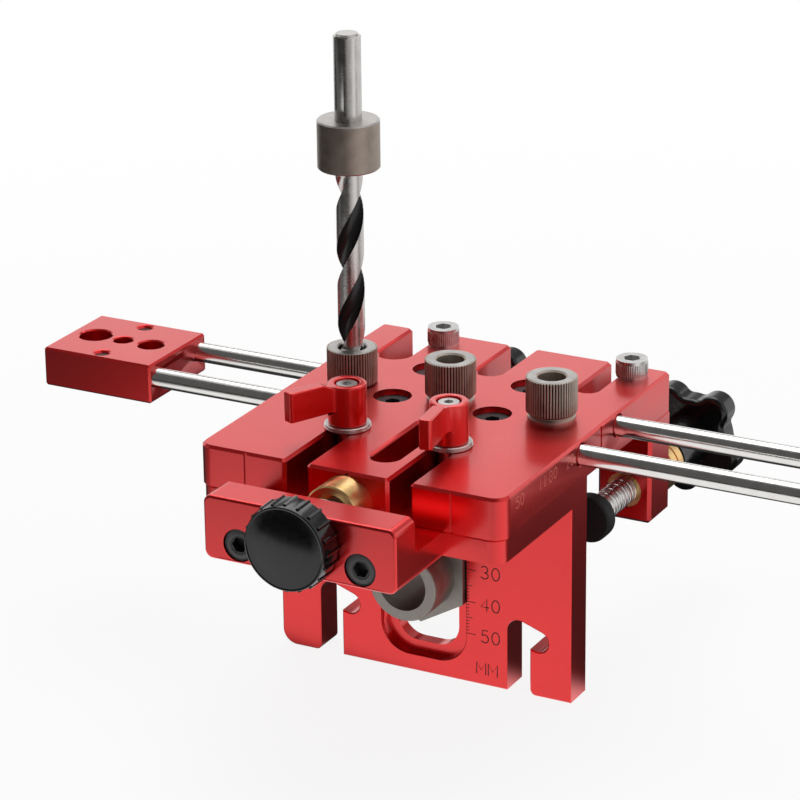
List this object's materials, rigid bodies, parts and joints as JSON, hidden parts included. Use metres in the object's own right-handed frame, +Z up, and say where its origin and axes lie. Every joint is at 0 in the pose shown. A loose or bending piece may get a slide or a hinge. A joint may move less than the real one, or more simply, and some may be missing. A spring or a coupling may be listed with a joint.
{
  "type": "dowel jig",
  "caption": "Clamp-on drilling jig: a slotted red plate with knurled drill guides slides over a fence, with an end stop on rods, locking levers, star-knob clamps and a drill with a stop collar.",
  "frame": {"origin": "the inner corner where the board sits: on the drill plate's underside, at the plate's middle and in line with the fence's back face", "axes": "+X along the two rods, away from the end block; +Y from the adjusting knob towards the star knobs; +Z up, along the drill"},
  "size_m": [0.2535, 0.1876, 0.1831],
  "materials": {
    "red_anodised": "satin red anodised",
    "red_painted": "bright red gloss paint",
    "bright_steel": "bright zinc-plated steel",
    "brass": "turned brass",
    "black_plastic": "glossy black moulding",
    "black_rubber": "black rubber",
    "black_steel": "black-oxide steel",
    "grey_steel": "grey tempered tool steel",
    "matt_steel": "matt grey steel",
    "chromed": "polished chrome",
    "drill_steel": "ground lands with blackened flutes"
  },
  "bodies": {
    "plate": {"drill_plate": "red_anodised", "adjust_nut": "brass", "guide_bush_left": "grey_steel", "guide_bush_centre": "grey_steel", "guide_bush_right": "grey_steel", "bush_rings": "grey_steel", "rod_lock_screws": "black_steel", "clamp_block_left": "red_anodised", "clamp_block_right": "red_anodised", "clamp_bolts": "bright_steel", "clamp_pins": "bright_steel", "clamp_nut_left": "brass", "clamp_nut_right": "brass"},
    "base": {"base_plate": "red_anodised", "fence": "red_anodised", "fence_screws": "black_steel", "front_bar": "red_anodised", "front_bar_screws": "black_steel"},
    "adjuster": {"adjust_knob": "black_plastic", "adjust_screw": "bright_steel", "adjust_collar": "bright_steel"},
    "left_lever": {"lever_left": "red_painted", "lever_stud_left": "bright_steel", "lever_washer_left": "bright_steel", "lever_screw_left": "bright_steel"},
    "right_lever": {"lever_right": "red_painted", "lever_stud_right": "bright_steel", "lever_washer_right": "bright_steel", "lever_screw_right": "bright_steel"},
    "end_stop": {"rod_front": "chromed", "rod_rear": "chromed", "end_block": "red_anodised", "end_block_set_screws": "black_steel"},
    "left_pad": {"clamp_pad_left": "black_rubber"},
    "left_clamp_screw": {"clamp_screw_left": "bright_steel", "star_knob_left": "black_plastic"},
    "right_pad": {"clamp_pad_right": "black_rubber"},
    "right_clamp_screw": {"clamp_screw_right": "bright_steel", "star_knob_right": "black_plastic"},
    "cam_guide": {"cam_bush": "matt_steel", "cam_bush_nut": "matt_steel"},
    "drill": {"drill_bit": "drill_steel", "stop_collar": "grey_steel", "collar_set_screw": "black_steel"}
  },
  "joints": [
    {"name": "base_slide", "type": "slide", "parent": "plate", "child": "base", "axis": [0, 1, 0], "range_m": [-0.012, 0.003]},
    {"name": "knob_turn", "type": "hinge", "parent": "base", "child": "adjuster", "pos_m": [0, -0.0814, 0.0026], "axis": [0, 1, 0], "range_deg": [-3458, 866]},
    {"name": "left_lever_turn", "type": "hinge", "parent": "base", "child": "left_lever", "pos_m": [-0.016, -0.0243, 0.012], "axis": [0, 0, 1], "range_deg": [-80, 25]},
    {"name": "right_lever_turn", "type": "hinge", "parent": "base", "child": "right_lever", "pos_m": [0.016, -0.0243, 0.012], "axis": [0, 0, 1], "range_deg": [-10, 80]},
    {"name": "end_stop_slide", "type": "slide", "parent": "plate", "child": "end_stop", "axis": [1, 0, 0], "range_m": [-0.075, 0.042]},
    {"name": "cam_guide_slide", "type": "slide", "parent": "base", "child": "cam_guide", "axis": [0, 0, 1], "range_m": [-0.011, 0.0044]},
    {"name": "drill_slide", "type": "slide", "parent": "plate", "child": "drill", "axis": [0, 0, 1], "range_m": [-0.0537, 0.03]},
    {"name": "left_pad_slide", "type": "slide", "parent": "plate", "child": "left_pad", "axis": [0, 1, 0], "range_m": [-0.001, 0.02]},
    {"name": "left_star_turn", "type": "hinge", "parent": "left_pad", "child": "left_clamp_screw", "pos_m": [-0.023, 0.091, -0.0225], "axis": [0, 1, 0], "range_deg": [-290, 5762]},
    {"name": "right_pad_slide", "type": "slide", "parent": "plate", "child": "right_pad", "axis": [0, 1, 0], "range_m": [-0.001, 0.02]},
    {"name": "right_star_turn", "type": "hinge", "parent": "right_pad", "child": "right_clamp_screw", "pos_m": [0.0386, 0.091, -0.0225], "axis": [0, 1, 0], "range_deg": [-290, 5762]}
  ],
  "couplings": [
    {"joint": "knob_turn", "follows": "base_slide", "rad_per_m": 5026.5},
    {"joint": "left_star_turn", "follows": "left_pad_slide", "rad_per_m": 5026.5},
    {"joint": "right_star_turn", "follows": "right_pad_slide", "rad_per_m": 5026.5}
  ]
}
